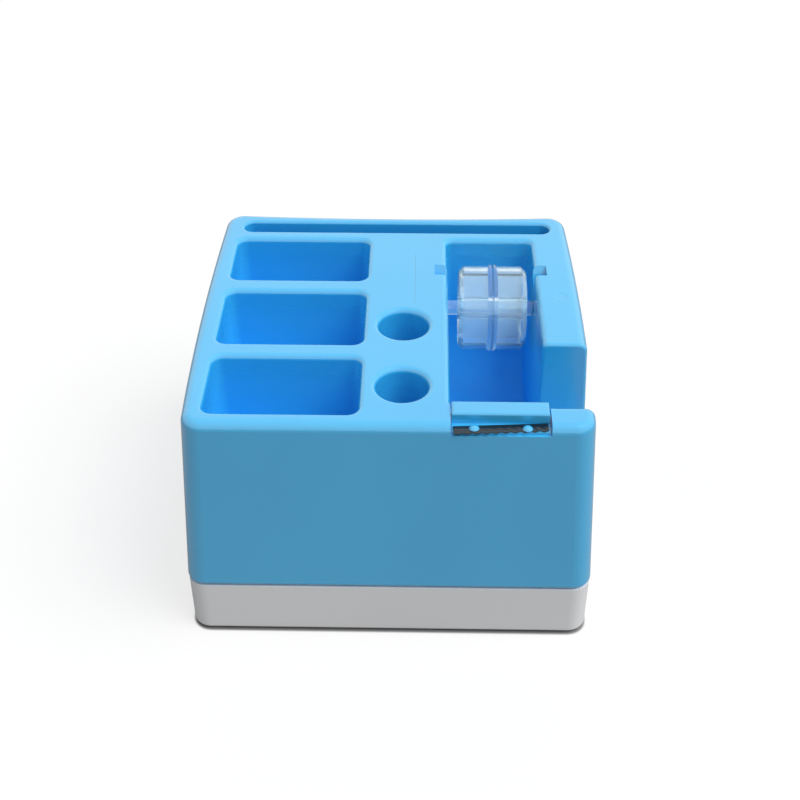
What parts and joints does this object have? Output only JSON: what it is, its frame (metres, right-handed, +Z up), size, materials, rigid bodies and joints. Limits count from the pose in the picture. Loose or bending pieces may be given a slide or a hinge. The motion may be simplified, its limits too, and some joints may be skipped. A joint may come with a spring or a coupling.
{
  "type": "tape dispenser desk organizer",
  "caption": "Desk organizer with open pockets, pen holes, a long rear slot, a tape well with a clear hub and toothed blade, and a full-width drawer underneath.",
  "frame": {"origin": "middle of the footprint, on the surface that the feet stand on", "axes": "+X to the right, +Y to the back, +Z up; the drawer opens towards -Y"},
  "size_m": [0.113, 0.1098, 0.0762],
  "materials": {
    "blue_plastic": "satin moulded plastic",
    "white_plastic": "satin moulded plastic",
    "clear_plastic": "clear moulded plastic",
    "blade_steel": "bright rolled strip",
    "zinc_screw": "zinc plated",
    "foot_rubber": "matt"
  },
  "bodies": {
    "housing": {"housing": "blue_plastic", "blade_holder": "blue_plastic", "cutter_blade": "blade_steel", "base": "white_plastic", "screw_front_left": "zinc_screw", "screw_front_right": "zinc_screw", "screw_rear_left": "zinc_screw", "screw_rear_right": "zinc_screw", "foot_front_left": "foot_rubber", "foot_front_right": "foot_rubber", "foot_rear_left": "foot_rubber", "foot_rear_right": "foot_rubber"},
    "drawer": {"drawer": "white_plastic"},
    "axle": {"hub_axle": "clear_plastic"},
    "hub": {"hub_left": "clear_plastic", "hub_right": "clear_plastic"}
  },
  "joints": [
    {"name": "drawer_slide", "type": "slide", "parent": "housing", "child": "drawer", "axis": [0, -1, 0], "range_m": [0, 0.07]},
    {"name": "axle_lift", "type": "slide", "parent": "housing", "child": "axle", "axis": [0, 0.515, 0.8572], "range_m": [0, 0.034]},
    {"name": "hub_spin", "type": "hinge", "parent": "axle", "child": "hub", "pos_m": [0.02875, 0.01429, 0.0635], "axis": [1, 0, 0], "continuous": true}
  ]
}
